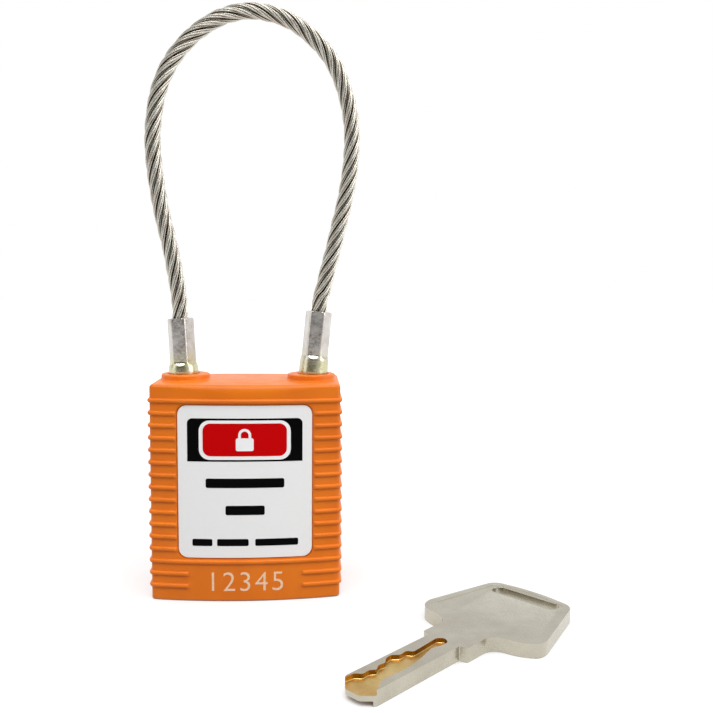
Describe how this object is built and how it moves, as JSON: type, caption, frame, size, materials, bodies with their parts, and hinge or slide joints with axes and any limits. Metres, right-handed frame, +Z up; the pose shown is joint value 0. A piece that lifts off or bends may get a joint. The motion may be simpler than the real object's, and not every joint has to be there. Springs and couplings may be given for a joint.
{
  "type": "cable shackle padlock",
  "caption": "Safety padlock with a ribbed moulded body, a loop of wire rope between two crimped terminals for a shackle, a track-key plug, and its flat key lying beside it.",
  "frame": {"origin": "the keyway mouth on the plug axis, in the plane that the lock stands on", "axes": "+X towards the toe leg, +Y from the front face to the back, +Z up the body towards the rope loop"},
  "size_m": [0.0881, 0.0684, 0.1266],
  "materials": {
    "orange_nylon": "moulded nylon, satin",
    "label_film": "printed polyester film",
    "cast_zinc": "die-cast zinc alloy",
    "brass": "machined",
    "plain_steel": "stamped, lightly brushed",
    "dark_steel": "black oxide",
    "spring_steel": "drawn wire",
    "zinc_plated_steel": "bright zinc plate",
    "galvanised_rope": "stranded galvanised wire",
    "nickel_plated_brass": "nickel plated"
  },
  "bodies": {
    "body": {"case_shell": "orange_nylon", "bottom_plate": "orange_nylon", "core_housing": "cast_zinc", "core_screw": "dark_steel", "bolt_cover": "plain_steel", "cover_screws": "dark_steel", "bolt_spring": "spring_steel", "front_label": "label_film", "back_label": "label_film"},
    "plug": {"key_plug": "brass", "slider_springs": "spring_steel", "plug_clip": "spring_steel", "cam": "cast_zinc"},
    "bolt": {"toe_bolt": "plain_steel"},
    "shackle": {"heel_terminal": "zinc_plated_steel", "heel_stop_ring": "spring_steel", "wire_rope": "galvanised_rope"},
    "toe": {"toe_terminal": "zinc_plated_steel"},
    "key": {"key": "nickel_plated_brass"},
    "slider_1": {"slider_1": "brass"},
    "slider_2": {"slider_2": "brass"},
    "slider_3": {"slider_3": "brass"},
    "slider_4": {"slider_4": "brass"},
    "slider_5": {"slider_5": "brass"},
    "slider_6": {"slider_6": "brass"}
  },
  "joints": [
    {"name": "plug_turn", "type": "hinge", "parent": "body", "child": "plug", "pos_m": [0, 0, 0.015], "axis": [0, 0, 1], "range_deg": [0, 90]},
    {"name": "bolt_slide", "type": "slide", "parent": "body", "child": "bolt", "axis": [1, 0, 0], "range_m": [0, 0.0022], "deforming": ["bolt_spring"]},
    {"name": "shackle_lift", "type": "slide", "parent": "body", "child": "shackle", "axis": [0, 0, 1], "range_m": [0, 0.0084]},
    {"name": "toe_pull", "type": "slide", "parent": "shackle", "child": "toe", "axis": [0, 0, 1], "range_m": [0, 0.018], "deforming": ["wire_rope"]},
    {"name": "key_pickup", "type": "slide", "parent": "body", "child": "key", "axis": [0, 0, 1], "range_m": [0, 0.06]},
    {"name": "slider_1_shift", "type": "slide", "parent": "plug", "child": "slider_1", "axis": [1, 0, 0], "range_m": [0, 0.0006], "stiffness_N_per_m": 20, "springref_m": 0.0006},
    {"name": "slider_2_shift", "type": "slide", "parent": "plug", "child": "slider_2", "axis": [-1, 0, 0], "range_m": [0, 0.0006], "stiffness_N_per_m": 20, "springref_m": 0.0006},
    {"name": "slider_3_shift", "type": "slide", "parent": "plug", "child": "slider_3", "axis": [1, 0, 0], "range_m": [0, 0.0006], "stiffness_N_per_m": 20, "springref_m": 0.0006},
    {"name": "slider_4_shift", "type": "slide", "parent": "plug", "child": "slider_4", "axis": [-1, 0, 0], "range_m": [0, 0.0006], "stiffness_N_per_m": 20, "springref_m": 0.0006},
    {"name": "slider_5_shift", "type": "slide", "parent": "plug", "child": "slider_5", "axis": [1, 0, 0], "range_m": [0, 0.0006], "stiffness_N_per_m": 20, "springref_m": 0.0006},
    {"name": "slider_6_shift", "type": "slide", "parent": "plug", "child": "slider_6", "axis": [-1, 0, 0], "range_m": [0, 0.0006], "stiffness_N_per_m": 20, "springref_m": 0.0006}
  ],
  "couplings": [
    {"joint": "bolt_slide", "follows": "plug_turn", "m_per_rad": 0.0014}
  ]
}
